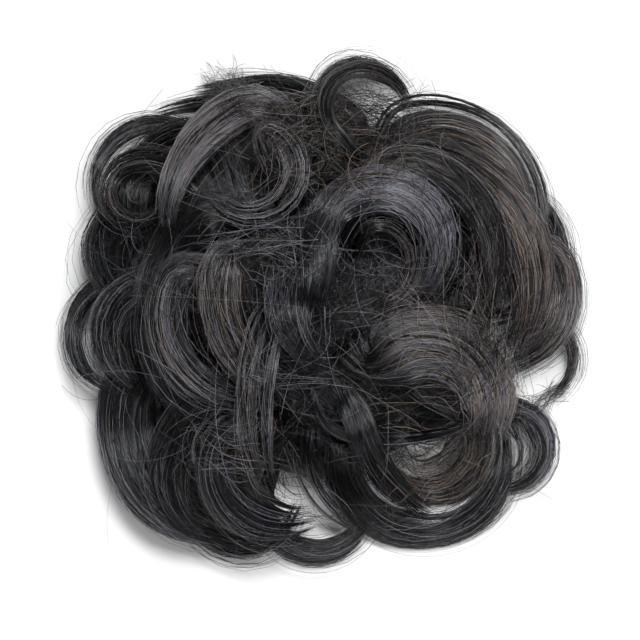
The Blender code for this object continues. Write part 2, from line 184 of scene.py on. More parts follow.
PATCHES: tuple[Patch, ...] = (
    Patch(-0.10, 0.66, 0.18, 110, 200, 30, 0.5, 0.8),
    Patch(0.12, 0.60, 0.18, 110, 150, 50, 0.6, 0.7),
    Patch(0.20, 0.74, 0.12, 130, 355, 18, 0.3, 0.5),
    Patch(0.34, 0.60, 0.14, 60, 160, 50, 0.6, 0.8),
    Patch(-0.24, 0.50, 0.12, 22, 70, 40, 0.3, 0.1),
    Patch(-0.12, 0.20, 0.16, 45, 100, 45, 0.5, 0.1),
    Patch(-0.06, -0.06, 0.24, 55, 85, 28, 0.6, 0.0),
    Patch(0.22, 0.18, 0.14, 60, 40, 90, 0.5, 0.0),
    Patch(0.36, -0.02, 0.14, 30, 150, 30, 0.7, 0.5),
    Patch(0.40, -0.54, 0.22, 90, 165, 40, 0.7, 0.6),
    Patch(-0.12, -0.44, 0.20, 40, 100, 40, 0.5, 0.1),
    Patch(-0.40, -0.48, 0.20, 40, 110, 40, 0.5, 0.1),
    Patch(0.62, 0.28, 0.18, 50, 100, 30, 0.5, 0.6),
    Patch(-0.55, 0.20, 0.22, 50, 60, 50, 0.4, 0.1),
    Patch(0.66, -0.20, 0.16, 40, 60, 30, 0.6, 0.5),
    Patch(0.70, -0.12, 0.11, 110, 62, 18, 0.35, 0.4),
    Patch(-0.35, 0.855, 0.07, 110, 168, 22, 0.15, 0.4, curl=3.0, longest=17 * MM),
    Patch(-0.286, 0.267, 0.05, 35, 12, 9, 0.8, 0.1),
    Patch(-0.155, -0.244, 0.05, 25, 172, 8, 0.8, 0.2),
    Patch(0.56, 0.05, 0.12, 60, 100, 12, 0.6, 0.6),
    Patch(-0.33, -0.54, 0.08, 20, 170, 8, 0.8, 0.3),
    Patch(0.89, -0.33, 0.03, 40, 215, 14, 0.15, 0.1, longest=13 * MM),
)


def linear(hex_colour: str) -> tuple[float, float, float, float]:
    """Turns the six hex digits of an sRGB colour to linear red, green and blue, and an alpha of 1."""
    shares = [int(hex_colour[i:i + 2], 16) / 255 for i in (0, 2, 4)]
    light = [s / 12.92 if s <= 0.04045 else ((s + 0.055) / 1.055) ** 2.4 for s in shares]
    return light[0], light[1], light[2], 1.0


def add_node(
    tree: bpy.types.NodeTree, kind: str, settings: dict | None = None, inputs: dict | None = None
) -> bpy.types.Node:
    """Adds a node to a tree, with its settings and its inputs.

    Args:
        tree: The node tree.
        kind: The node's type name.
        settings: Property names and values.
        inputs: Input names or numbers, each with a value, or with an output socket to link.

    Returns:
        The new node.
    """
    node = tree.nodes.new(kind)
    for key, value in (settings or {}).items():
        setattr(node, key, value)
    for key, value in (inputs or {}).items():
        if isinstance(value, bpy.types.NodeSocket):
            tree.links.new(value, node.inputs[key])
        else:
            node.inputs[key].default_value = value
    return node


def new_tree(name: str) -> tuple[bpy.types.Material, bpy.types.NodeTree]:
    """Makes an empty node material and returns it with its tree."""
    made = bpy.data.materials.new(name)
    made.use_nodes = True
    made.node_tree.nodes.clear()
    return made, made.node_tree


def ramp(tree: bpy.types.NodeTree, factor: bpy.types.NodeSocket, stops: dict[float, str]) -> bpy.types.Node:
    """Adds a colour ramp with hex colours at the given places.

    Args:
        tree: The node tree.
        factor: The socket that drives the ramp.
        stops: Places from 0 to 1, each with a hex colour.

    Returns:
        The ramp node.
    """
    node = add_node(tree, "ShaderNodeValToRGB", inputs={"Fac": factor})
    elements = node.color_ramp.elements
    while len(elements) < len(stops):
        elements.new(1.0)
    for element, (place, colour) in zip(elements, sorted(stops.items())):
        element.position = place
        element.color = linear(colour)
    return node


def surface(tree: bpy.types.NodeTree, inputs: dict) -> None:
    """Adds the surface shader with the given inputs, and the output node."""
    shader = add_node(tree, "ShaderNodeBsdfPrincipled", inputs=inputs)
    add_node(tree, "ShaderNodeOutputMaterial", inputs={"Surface": shader.outputs[0]})


def grain(
    tree: bpy.types.NodeTree, noise: dict, stops: dict[float, str], strength: float, depth: float
) -> tuple[bpy.types.NodeSocket, bpy.types.NodeSocket]:
    """Adds a noise that both colours a surface and raises it.

    Args:
        tree: The node tree.
        noise: The noise's inputs.
        stops: Its values, each with a hex colour.
        strength: How much of the relief shows.
        depth: The relief's depth.

    Returns:
        The sockets with the colour and with the normal.
    """
    values = add_node(tree, "ShaderNodeTexNoise", inputs=noise | {"Detail": 3.0}).outputs["Fac"]
    colour = ramp(tree, values, stops)
    bump = {"Height": values, "Strength": strength, "Distance": depth}
    relief = add_node(tree, "ShaderNodeBump", inputs=bump)
    return colour.outputs["Color"], relief.outputs["Normal"]


@dataclass(frozen=True)
class FibreFinish:
    """Modacrylic fibre, melt spun and set in curls by heat: an off-black filament with a smooth, soft gloss.

    The colour holds painted light: each ramp runs from painted shade, near black where a curl dives, through
    the fibre's own off-black to a painted cool grey sheen where a curl crests. The warm ramp paints the warm
    brown where a few thin strands let light through.
    """

    name: str = "modacrylic_fibre_heat_curled"
    # Each ramp: painted shade at 0, the fibre's own off-black at 0.5, painted sheen at 1.
    cool: tuple[str, str, str] = ("020203", "0c0d12", "9093a0")
    warm: tuple[str, str, str] = ("040302", "19120e", "9d866f")
    sheen: str = "f4f6fb"
    roughness: float = 0.27
    index: float = 1.58

    def colour(self, tree: bpy.types.NodeTree) -> bpy.types.NodeSocket:
        """Mixes a cool and a warm ramp: the piece's tone picks the place on both, its warmth how they mix.

        Args:
            tree: The material's node tree.

        Returns:
            The socket with the colour.
        """
        tone = add_node(tree, "ShaderNodeAttribute", {"attribute_name": "tone"})
        warmth = add_node(tree, "ShaderNodeAttribute", {"attribute_name": "warmth"})
        ramps = [
            ramp(tree, tone.outputs["Fac"], dict(zip((0.0, 0.5, 1.0), colours))).outputs["Color"]
            for colours in (self.cool, self.warm)
        ]
        mix = add_node(tree, "ShaderNodeMix", {"data_type": "RGBA"}, {0: warmth.outputs["Fac"]})
        tree.links.new(ramps[0], mix.inputs[6])
        tree.links.new(ramps[1], mix.inputs[7])
        return mix.outputs[2]

    def gloss(self) -> dict:
        """The shader inputs that all of this fibre's finishes share."""
        return {"Roughness": self.roughness, "IOR": self.index, "Specular Tint": linear(self.sheen)}

    def make(self) -> bpy.types.Material:
        """Builds the material."""
        made, tree = new_tree(self.name)
        surface(tree, self.gloss() | {"Base Color": self.colour(tree)})
        return made


@dataclass(frozen=True)
class CombedFinish(FibreFinish):
    """The same fibre, side by side in a combed wisp, seen as fine grooves and darker and lighter hairs.

    Real fibres are about 0.08 mm, too fine to show, so the grooves are drawn about 0.3 mm apart.
    """

    name: str = "modacrylic_fibre_combed_wisp"
    roughness: float = 0.42
    groove: float = 0.30 * MM
    groove_length: float = 30 * MM
    bump: float = 0.8
    shade: tuple[str, str] = ("3a3a3a", "ffffff")

    def make(self) -> bpy.types.Material:
        """Builds the material: a noise stretched along the wisp, in the millimetres of its own UV map."""
        made, tree = new_tree(self.name)
        place = add_node(tree, "ShaderNodeUVMap", {"uv_map": "wisp"})
        scale = (1 / self.groove, 1 / self.groove_length, 1.0)
        mapping = {"Vector": place.outputs["UV"], "Scale": scale}
        stretched = add_node(tree, "ShaderNodeMapping", inputs=mapping)
        noise = {"Vector": stretched.outputs["Vector"], "Scale": 1.0, "Roughness": 0.6}
        shade, normal = grain(tree, noise, dict(zip((0.35, 0.65), self.shade)), self.bump, self.groove)
        tinted = add_node(
            tree,
            "ShaderNodeMix",
            {"data_type": "RGBA", "blend_type": "MULTIPLY"},
            {0: 1.0, 6: self.colour(tree), 7: shade},
        )
        surface(tree, self.gloss() | {"Base Color": tinted.outputs[2], "Normal": normal})
        return made


@dataclass(frozen=True)
class KnitFinish:
    """Black nylon yarn, knitted to a net or woven to an elastic band: matt, with a faint fuzz."""

    name: str
    dark: str
    light: str
    thread: float
    roughness: float = 0.8
    fuzz: float = 0.15
    bump: float = 0.5

    def make(self) -> bpy.types.Material:
        """Builds the material: a noise at the yarn's own scale varies its colour and roughens its face."""
        made, tree = new_tree(self.name)
        place = add_node(tree, "ShaderNodeTexCoord")
        noise = {"Vector": place.outputs["Object"], "Scale": 1 / self.thread}
        stops = {0.3: self.dark, 0.7: self.light}
        colour, normal = grain(tree, noise, stops, self.bump, self.thread / 4)
        matt = {"Roughness": self.roughness, "Sheen Weight": self.fuzz}
        surface(tree, matt | {"Base Color": colour, "Normal": normal})
        return made


@dataclass
class Shape:
    """A piece's arrays: points as rows, faces as vertex numbers, and each point's colour choice and UV."""

    points: np.ndarray
    faces: list[list[int]]
    tone: np.ndarray | None = None
    warmth: np.ndarray | None = None
    uv: np.ndarray | None = None

    def write(self, name: str, finish: bpy.types.Material) -> bpy.types.Object:
        """Puts the arrays into a new smooth-shaded mesh object at the origin.

        Args:
            name: The object's name.
            finish: Its material.

        Returns:
            The object, linked to the scene.
        """
        mesh = bpy.data.meshes.new(name)
        mesh.from_pydata(self.points.tolist(), [], self.faces)
        mesh.materials.append(finish)
        mesh.polygons.foreach_set("use_smooth", np.ones(len(mesh.polygons), bool))
        for attribute in ("tone", "warmth"):
            values = getattr(self, attribute)
            if values is not None:
                layer = mesh.attributes.new(attribute, "FLOAT", "POINT")
                layer.data.foreach_set("value", values.astype(np.float32).ravel())
        if self.uv is not None:
            corners = np.empty(len(mesh.loops), np.int32)
            mesh.loops.foreach_get("vertex_index", corners)
            layer = mesh.uv_layers.new(name="wisp")
            layer.data.foreach_set("uv", self.uv[corners].astype(np.float32).ravel())
        if signed_volume(mesh) < 0:
            mesh.flip_normals()
        obj = bpy.data.objects.new(name, mesh)
        bpy.context.scene.collection.objects.link(obj)
        return obj


def mesh_arrays(mesh: bpy.types.Mesh) -> tuple[np.ndarray, np.ndarray]:
    """The points of a mesh and the corners of its triangles, both as rows of three."""
    mesh.calc_loop_triangles()
    points = np.empty(len(mesh.vertices) * 3, np.float32)
    mesh.vertices.foreach_get("co", points)
    corners = np.empty(len(mesh.loop_triangles) * 3, np.int32)
    mesh.loop_triangles.foreach_get("vertices", corners)
    return points.reshape(-1, 3), corners.reshape(-1, 3)


def signed_volume(mesh: bpy.types.Mesh) -> float:
    """Six times the volume inside a mesh, negative where its faces look inwards."""
    points, corners = mesh_arrays(mesh)
    a, b, c = points[corners].transpose(1, 0, 2)
    return float((np.cross(a, b) * c).sum())


def hang(piece: bpy.types.Object, *nodes: str) -> int:
    """Makes a piece part of the hair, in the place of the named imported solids, and returns its face count."""
    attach(piece, "root")
    if nodes:
        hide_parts(*nodes)
    return len(piece.data.polygons)


def unit(vectors: np.ndarray) -> np.ndarray:
    """Scales vectors along the last axis to length 1."""
    return vectors / np.maximum(np.linalg.norm(vectors, axis=-1, keepdims=True), 1e-12)


def smooth_step(share: np.ndarray) -> np.ndarray:
    """The S-curve 3t² - 2t³, held at 0 and 1 outside that range."""
    share = np.clip(share, 0, 1)
    return share * share * (3 - 2 * share)


def soften(values: np.ndarray, reach: int) -> np.ndarray:
    """Averages each row with its neighbours, twice, over a window of 2 * reach + 1 rows.

    Args:
        values: Samples along a line, first axis along it.
        reach: Neighbours on each side.

    Returns:
        The smoothed samples, with the ends kept near their places.
    """
    for _ in range(2):
        before = 2 * values[:1] - values[reach:0:-1]
        after = 2 * values[-1:] - values[-2:-reach - 2:-1]
        padded = np.concatenate([before, values, after])
        total = np.cumsum(np.concatenate([np.zeros_like(padded[:1]), padded]), axis=0)
        values = (total[2 * reach + 1:] - total[:-2 * reach - 1]) / (2 * reach + 1)
    return values


def carried(
    centre: np.ndarray,
    across: np.ndarray,
    over: np.ndarray,
    half_width: np.ndarray,
    half_height: np.ndarray,
    arch: float,
    sides: int,
) -> tuple[np.ndarray, list[list[int]], np.ndarray]:
    """Carries a closed section along every path.

    A point at turn t is centre + across * w cos t + over * (h sin t - arch * w cos² t).

    Args:
        centre: Path points, (paths, stations, 3).
        across: Unit vectors along the section's width, in the same shape.
        over: Unit vectors along its height.
        half_width: Half widths, (paths, stations).
        half_height: Half heights.
        arch: How far the section's two edges droop, a share of its half width.
        sides: Points of a section.

    Returns:
        The points as rows, the faces, and each point's distance across the section.
    """
    turn = np.linspace(0, TURN, sides, endpoint=False) + math.pi / 2
    cosine, sine = np.cos(turn), np.sin(turn)
    sideways = half_width[..., None] * cosine
    upwards = half_height[..., None] * sine - arch * half_width[..., None] * cosine**2
    ring = sideways[..., None] * across[:, :, None] + upwards[..., None] * over[:, :, None]
    points = centre[:, :, None] + ring
    paths, stations = centre.shape[:2]
    number = np.arange(paths * stations * sides).reshape(paths, stations, sides)
    low, high = number[:, :-1], number[:, 1:]
    quads = np.stack([low, high, np.roll(high, -1, 2), np.roll(low, -1, 2)], axis=-1).reshape(-1, 4)
    caps = np.concatenate([number[:, 0], number[:, -1, ::-1]])
    return points.reshape(-1, 3), quads.tolist() + caps.tolist(), sideways.reshape(-1)


def strand_shape(paths: np.ndarray, radii: np.ndarray, tones: np.ndarray, warmth: np.ndarray) -> Shape:
    """Makes a three-sided tube round every strand, kept above the floor.

    Args:
        paths: Strand points, (strands, points, 3).
        radii: Strand radii, (strands, points).
        tones: One tone for each strand, or one for each of its points.
        warmth: One warmth for each strand.

    Returns:
        The arrays of all the strands as one piece.
    """
    paths = np.concatenate([paths[..., :2], np.maximum(paths[..., 2:], radii[..., None])], axis=-1)
    tangent = unit(np.gradient(paths, axis=1))
    across = unit(np.cross(tangent, np.array([0.02, 0.03, 1.0])))
    points, faces, _ = carried(paths, across, np.cross(across, tangent), radii, radii, 0.0, 3)
    every = tones if tones.ndim == 2 else np.repeat(tones[:, None], paths.shape[1], axis=1)
    return Shape(points, faces, np.repeat(every.ravel(), 3), np.repeat(warmth, paths.shape[1] * 3))


class HeightField:
    """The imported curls' height from above, on a square grid, spread and softened so that hair bridges it."""

    cell = 1.0 * MM
    reach = 1.2 * HAIR_RADIUS
    soft = 3

    def __init__(self, nodes: list[str]) -> None:
        """Casts a ray down at every grid point onto the named solids."""
        tree = tree_of(nodes)
        self.line = np.arange(-self.reach, self.reach, self.cell)
        x, y = np.meshgrid(self.line, self.line, indexing="ij")
        heights = cast(tree, np.column_stack([x.ravel(), y.ravel()]), True).reshape(x.shape)
        heights = np.nan_to_num(heights, nan=0.0)
        for axis in (0, 1):
            heights = np.maximum(heights, np.maximum(np.roll(heights, 1, axis), np.roll(heights, -1, axis)))
        self.height = soften(soften(heights, self.soft).T, self.soft).T

    def at(self, plan: np.ndarray) -> np.ndarray:
        """The height at plan points, with x and y on their last axis, bilinear between the grid's."""
        place = np.clip((plan + self.reach) / self.cell, 0, len(self.line) - 1.001)
        low = place.astype(int)
        part = place - low
        i, j = low[..., 0], low[..., 1]
        s, t = part[..., 0], part[..., 1]
        near = self.height[i, j] * (1 - t) + self.height[i, j + 1] * t
        far = self.height[i + 1, j] * (1 - t) + self.height[i + 1, j + 1] * t
        return near * (1 - s) + far * s


def tree_of(nodes: list[str]) -> BVHTree:
    """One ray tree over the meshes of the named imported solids."""
    arrays = [mesh_arrays(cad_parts[node].data) for node in nodes]
    starts = np.cumsum([0] + [len(points) for points, _ in arrays[:-1]])
    every = np.concatenate([points for points, _ in arrays])
    faces = np.concatenate([corners + start for (_, corners), start in zip(arrays, starts)])
    return BVHTree.FromPolygons(every.tolist(), faces.tolist())


def cast(tree: BVHTree, plan: np.ndarray, down: bool, start: np.ndarray | None = None) -> np.ndarray:
    """The height of the first surface met at each plan point.

    Args:
        tree: The ray tree.
        plan: Plan points, one row each.
        down: True to look from above, False from below.
        start: The heights to look from, far outside when left out.

    Returns:
        Heights, NaN where there is nothing.
    """
    height, way = (1.0, -1.0) if down else (-1.0, 1.0)
    heights = np.full(len(plan), height) if start is None else start
    hits = [tree.ray_cast((x, y, z), (0, 0, way))[0] for (x, y), z in zip(plan, heights)]
    return np.array([hit.z if hit else np.nan for hit in hits])


def layer_middles(tree: BVHTree, plan: np.ndarray) -> np.ndarray:
    """The middle heights of the highest and the lowest layer of a solid at each plan point.

    Args:
        tree: The solid's ray tree.
        plan: Plan points, one row each.

    Returns:
        Two heights for each point, NaN where there is nothing.
    """
    middles = []
    for down in (True, False):
        outer = cast(tree, plan, down)
        step = -THINNEST if down else THINNEST
        inner = cast(tree, plan, down, np.where(np.isnan(outer), 0.0, outer) + step)
        middles.append((outer + np.where(np.isnan(inner), outer, inner)) / 2)
    return np.column_stack(middles)


def filled(values: np.ndarray) -> np.ndarray:
    """Fills NaN samples from their neighbours along the line."""
    known = ~np.isnan(values)
    place = np.arange(len(values))
    return np.interp(place, place[known], values[known])


@dataclass(frozen=True)
class Fill:
    """What a lock of one body is made of."""

    wisps: int
    wisp_width: float
    spread: float
    strands: int
    nested: float
    start: float = 0.0


FILLS: dict[Body, Fill] = {
    FULL: Fill(wisps=9, wisp_width=0.28, spread=1.0, strands=230, nested=0.02),
    LOOSE: Fill(wisps=8, wisp_width=0.18, spread=1.25, strands=175, nested=0.10),
    NESTED: Fill(wisps=8, wisp_width=0.16, spread=1.25, strands=240, nested=0.45),
    WISPY: Fill(wisps=7, wisp_width=0.09, spread=1.35, strands=120, nested=0.04, start=0.12),
}


@dataclass
class CurledLock:
    """One lock: combed wisps side by side, and the strands that cover them and stray."""

    lock: Lock
    seed: int
    samples: int = 72
    smoothing: int = 4
    half_width: float = 6.0 * MM
    half_thickness: float = 1.4 * MM
    arch: float = 0.25
    root_width: float = 0.6
    tip_width: float = 0.55
    bend_share: float = 0.8
    lead_handle: float = 0.42
    wavelength: float = 45 * MM
    stations: int = 26
    sides: int = 8
    wisp_thickness: float = 0.45 * MM
    wisp_tilt: float = 11.0
    # The share of the lock's painted light that its wisps take.
    wisp_painted_light_share: float = 0.4
    wisp_contrast: float = 0.8
    bluntness: int = 14
    strand_points: int = 15
    strand_radius: float = 0.072 * MM
    strand_contrast: float = 0.26
    proud: float = 0.30
    stray_share: float = 0.15
    nest_share: float = 0.7

    def __post_init__(self) -> None:
        """Works out the centre line, its axes and the courses of the wisps."""
        self.random = np.random.default_rng(self.seed)
        self.fill = FILLS[self.lock.body]
        self.centre = self.centre_line()
        self.wide, self.thick = self.axes()
        self.width = self.widths()
        self.draw_guides()

    def plan(self) -> np.ndarray:
        """The plan of the centre line, evenly spaced.

        A Bezier lead leaves the root straight outwards and meets the arc along its tangent:
        (1-t)³ root + 3(1-t)²t near + 3(1-t)t² far + t³ start.

        Returns:
            Plan points, one row each.
        """
        lock = self.lock
        root_way = np.array([math.cos(math.radians(lock.root)), math.sin(math.radians(lock.root))])
        root = root_way * lock.ring * CAP_RADIUS
        share = np.linspace(0, 1, self.samples)[:, None]
        angle = np.radians(lock.start + lock.sweep * share)
        radius = lock.radius * HAIR_RADIUS * (1 + (lock.grow - 1) * share)
        arc = np.array([lock.x, lock.y]) * HAIR_RADIUS + radius * np.hstack([np.cos(angle), np.sin(angle)])
        heading = unit(arc[1] - arc[0])
        handle = self.lead_handle * np.linalg.norm(arc[0] - root)
        near, far = root + root_way * handle, arc[0] - heading * handle
        left = 1 - share
        lead = left**3 * root + 3 * left**2 * share * near + 3 * left * share**2 * far + share**3 * arc[0]
        path = np.vstack([lead[:-1], arc])
        length = np.concatenate([[0], np.cumsum(np.linalg.norm(np.diff(path, axis=0), axis=1))])
        even = np.linspace(0, length[-1], self.samples)
        self.length = length[-1]
        return np.column_stack([np.interp(even, length, path[:, i]) for i in (0, 1)])

    def centre_line(self) -> np.ndarray:
        """The centre line in space: the plan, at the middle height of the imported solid, softened.

        Where the lock passes over its own root, the solid has two layers, and the line keeps to the one that
        it is in: it is followed both ways from where there is only one.
        """
        plan = self.plan()
        tree = tree_of(["lock_" + self.lock.name])
        layers = layer_middles(tree, plan)
        gap = np.abs(layers[:, 0] - layers[:, 1])
        height = layers.mean(axis=1)
        known = np.flatnonzero(~np.isnan(height))
        # Of the places with one layer, the one nearest six tenths of the way is the surest.
        middle = known[np.argmin(gap[known] + 0.1 * MM * np.abs(known / self.samples - 0.6))]
        for order in (known[known > middle], known[known < middle][::-1]):
            last = height[middle]
            for sample in order:
                last = layers[sample, np.abs(layers[sample] - last).argmin()]
                height[sample] = last
        return soften(np.column_stack([plan, filled(height)]), self.smoothing)

    def axes(self) -> tuple[np.ndarray, np.ndarray]:
        """The unit axes across the lock's width and its thickness, square to its centre line.

        The width's axis points outwards from the curl and is tipped down by the lean, so that the inner edge
        is up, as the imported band's is.
        """
        tangent = unit(np.gradient(self.centre, axis=0))
        outward = np.column_stack([tangent[:, 1], -tangent[:, 0], np.zeros(self.samples)])
        outward = unit(outward) * math.copysign(1, self.lock.sweep)
        lean = math.radians(self.lock.lean) * smooth_step(np.linspace(0, 1, self.samples) / 0.3)[:, None]
        wide = outward * np.cos(lean) - np.array([0, 0, 1.0]) * np.sin(lean)
        wide = unit(wide - (wide * tangent).sum(1, keepdims=True) * tangent)
        thick = np.cross(tangent, wide)
        return wide, thick * np.sign(thick[:, 2:] + 1e-9)

    def widths(self) -> np.ndarray:
        """Half widths along the lock: narrow at the root, full in the middle, narrower at the tip."""
        share = np.linspace(0, 1, self.samples)
        width = self.root_width + (1 - self.root_width) * smooth_step(share / 0.25)
        width = width * (1 - (1 - self.tip_width) * smooth_step((share - 0.7) / 0.3))
        width = width * self.lock.width * self.half_width
        tangent = unit(np.gradient(self.centre, axis=0))
        turn = np.linalg.norm(np.gradient(tangent, axis=0), axis=1)
        bend = np.linalg.norm(np.gradient(self.centre, axis=0), axis=1) / np.maximum(turn, 1e-6)
        flat = np.cos(math.radians(self.lock.lean))
        return soften(np.minimum(width, self.bend_share * bend / flat), self.smoothing)

    def along(self, values: np.ndarray, share: np.ndarray) -> np.ndarray:
        """Values given for each sample of the centre line, at any shares of its length."""
        place = np.linspace(0, 1, self.samples)
        columns = values.reshape(self.samples, -1).T
        return np.stack([np.interp(share, place, column) for column in columns], axis=-1)

    def place(self, share: np.ndarray, across: np.ndarray, over: np.ndarray) -> np.ndarray:
        """Points of the lock's arched section: centre + wide * w u + thick * (h v - arch * w u²).

        Args:
            share: Places along the lock.
            across: u, from -1 to 1 over its width, in the same shape.
            over: v, from -1 to 1 over its thickness.

        Returns:
            The points, with a last axis of 3.
        """
        width = self.along(self.width, share)[..., 0] * self.fill.spread
        centre, wide, thick = (self.along(v, share) for v in (self.centre, self.wide, self.thick))
        up = over * self.half_thickness - self.arch * width * across**2
        return centre + (across * width)[..., None] * wide + up[..., None] * thick

    def wander(self, share: np.ndarray, size: float) -> np.ndarray:
        """A slow random wave for every row of shares: size * sin(2π speed s + phase)."""
        draw = self.random
        rows = (len(share), 1)
        speed, phase = draw.uniform(0.5, 1.8, rows), draw.uniform(0, TURN, rows)
        return draw.exponential(size, rows) * np.sin(TURN * speed * share + phase)

    def draw_guides(self) -> None:
        """Draws the random numbers that fix each wisp's course, which its own strands follow too."""
        draw, fill = self.random, self.fill
        count = max(2, round(fill.wisps * min(1.2, 0.4 + 0.6 * self.lock.width)))
        rows = (count, 1)
        self.middle = np.linspace(-0.8, 0.8, count)[:, None] + draw.normal(0, 0.07, rows)
        self.gather = draw.uniform(0.0, 0.5, rows)
        self.sway = np.hstack([draw.normal(0, 0.10, rows), draw.uniform(0.4, 1.4, rows)])
        self.height = draw.uniform(-0.35, 0.35, rows)
        self.wave = np.hstack([draw.uniform(0.1, 0.5, rows), draw.uniform(0.8, 1.25, rows)])
        self.phase = draw.uniform(0, TURN, (count, 2))
        self.shade = draw.normal(0, 0.14, count)

    def guide(self, wisp: np.ndarray, share: np.ndarray) -> tuple[np.ndarray, np.ndarray]:
        """The course of a wisp in the section: it gathers to the tip, sways slowly and waves in height.

        across = middle * (1 - gather * S(s)) + sway sin(2π speed s + phase), and
        over = height + wave sin(2π length s / wavelength + phase).

        Args:
            wisp: The wisp's number, one for each row of shares.
            share: Places along the lock.

        Returns:
            The places across and over the section, in the shape of share.
        """
        close = 1 - self.gather[wisp] * smooth_step((share - 0.4) / 0.6)
        sway, speed = self.sway[wisp, :1], self.sway[wisp, 1:]
        wave, rate = self.wave[wisp, :1], self.wave[wisp, 1:]
        across = self.middle[wisp] * close
        across = across + sway * np.sin(TURN * speed * share + self.phase[wisp, :1])
        turns = rate * share * self.length / self.wavelength
        over = self.height[wisp] + wave * np.sin(TURN * turns + self.phase[wisp, 1:])
        return across, over * smooth_step(share / 0.1)

    def painted_shade_and_highlight(self, share: np.ndarray) -> np.ndarray:
        """Painted light along the lock: painted shade, darkest at its root where it dives under others, and a
        painted highlight, lightest past its middle where it crests.
        """
        rise = smooth_step((share - 0.15) / 0.4)
        return 0.25 + 0.95 * rise * (1 - 0.5 * smooth_step((share - 0.75) / 0.25))

    def wisps(self) -> Shape:
        """The combed wisps: flat arched tubes, side by side, each a little tilted and tapered to its tip."""
        draw, fill = self.random, self.fill
        count = len(self.middle)
        start = fill.start + draw.uniform(0.0, 0.05, count)
        end = 1 - draw.beta(1.3, 4.0, count) * 0.2
        part = np.linspace(0, 1, self.stations)
        share = start[:, None] + (end - start)[:, None] * part
        across, over = self.guide(np.arange(count), share)
        centre = self.place(share, across, over)
        wide, thick = self.along(self.wide, share), self.along(self.thick, share)
        droop = -2 * self.arch * across
        lean = np.radians(draw.normal(0, self.wisp_tilt, (count, 1)))
        tilt = np.arctan(droop) + lean + self.wander(share, 0.12)
        turned = wide * np.cos(tilt)[..., None] + thick * np.sin(tilt)[..., None]
        raised = thick * np.cos(tilt)[..., None] - wide * np.sin(tilt)[..., None]
        ends = np.sqrt(np.clip(1 - np.abs(2 * part - 1) ** self.bluntness, 0.0004, 1))
        tip = 1 - 0.75 * smooth_step((part - 0.8) / 0.2)
        width = self.along(self.width, share)[..., 0] * fill.wisp_width * draw.uniform(0.7, 1.35, (count, 1))
        height = self.wisp_thickness * ends * (0.35 + 0.65 * tip) * np.ones((count, 1))
        lowest = (height + width * (self.arch + np.abs(np.sin(tilt))))[..., None]
        centre = np.concatenate([centre[..., :2], np.maximum(centre[..., 2:], lowest)], axis=-1)
        points, faces, sideways = carried(
            centre, turned, raised, width * ends * tip, height, self.arch, self.sides
        )
        each = self.stations * self.sides
        offset = np.repeat(draw.uniform(0, 1, count), each)
        length = np.repeat(share * self.length, self.sides, axis=1).reshape(-1)
        # The lock's light, painted shade to painted sheen, with random tone between wisps; along each, painted
        # shade at the root and a painted highlight past the middle.
        tone = self.lock.light * self.wisp_painted_light_share + self.shade * self.wisp_contrast
        tone = tone[:, None] * self.painted_shade_and_highlight(share)
        warmth = self.lock.warm + draw.normal(0, 0.12, count)
        return Shape(
            points,
            faces,
            np.repeat(np.clip(tone, 0, 1).ravel(), self.sides),
            np.repeat(np.clip(warmth, 0, 1), each),
            np.column_stack([sideways + offset, length]),
        )

    def strands(self) -> Shape:
        """The strands: each lies on one wisp, at its own offset, and a few stray from it towards the tip."""
        draw, lock, fill = self.random, self.lock, self.fill
        count = int(fill.strands * (0.35 + 0.65 * min(lock.width, 1.4)))
        part = np.linspace(0, 1, self.strand_points)
        start = fill.start + draw.uniform(0.0, 0.07, count)
        end = 1 - draw.beta(1.2, 5.0, count) * 0.3
        share = start[:, None] + (end - start)[:, None] * part
        wisp = draw.integers(0, len(self.middle), count)
        across, over = self.guide(wisp, share)
        offset = draw.uniform(-1.2, 1.2, (count, 1)) * fill.wisp_width / fill.spread
        across = across + offset * (1 - 0.5 * smooth_step((share - 0.6) / 0.4)) + self.wander(share, 0.03)
        over = over + self.proud + draw.uniform(-0.2, 0.35, (count, 1)) + self.wander(share, 0.10)
        stray = (draw.uniform(0, 1, count) < self.stray_share)[:, None] * smooth_step((share - 0.2) / 0.8)
        across = across + stray * draw.normal(0, 0.7, (count, 1))
        over = over + stray * np.abs(draw.normal(0, 1.6, (count, 1)))
        inside = (draw.uniform(0, 1, count) < fill.nested)[:, None] * smooth_step((share - 0.25) / 0.3)
        deepest = self.nest_share * lock.radius * HAIR_RADIUS / (self.width.max() * fill.spread)
        across = np.maximum(across - inside * draw.uniform(0.3, 2.6, (count, 1)), -max(deepest, 1.0))
        paths = self.place(share, across, over)
        thin = 1 - 0.6 * smooth_step((part - 0.8) / 0.2)
        radii = self.strand_radius * draw.uniform(0.6, 1.4, (count, 1)) * thin
        # The lock's light, painted shade to painted sheen, with random tone between strands; along each,
        # painted shade at the root and a painted highlight past the middle.
        tones = (lock.light + self.shade[wisp] + draw.normal(0, self.strand_contrast, count))[:, None]
        tones = np.clip(tones * self.painted_shade_and_highlight(share) + 0.5 * self.wander(share, 0.1), 0, 1)
        warmth = np.clip(lock.warm + draw.normal(0.05, 0.3, count), 0, 1)
        return strand_shape(paths, radii, tones, warmth)

    def strays(self, count: int, points: int) -> np.ndarray:
        """Paths of loose hairs that follow the lock at a distance that grows along them.

        Args:
            count: How many hairs.
            points: Points of each.

        Returns:
            The paths, (count, points, 3).
        """
        draw = self.random
        start = draw.uniform(0.05, 0.5, (count, 1))
        end = start + (1 - start) * draw.uniform(0.5, 1.0, (count, 1))
        share = start + (end - start) * np.linspace(0, 1, points)
        side = draw.choice([-1, 1], (count, 1)) * draw.uniform(0.4, 0.9, (count, 1))
        grow = draw.normal(0.2, 0.3, (count, 1)) * smooth_step((share - start) / (1.001 - start))
        across = side * (1 + grow)
        over = draw.uniform(0.5, 2.0, (count, 1)) * (1 + 1.5 * share) + self.wander(share, 0.5)
        return self.place(share, across, over)

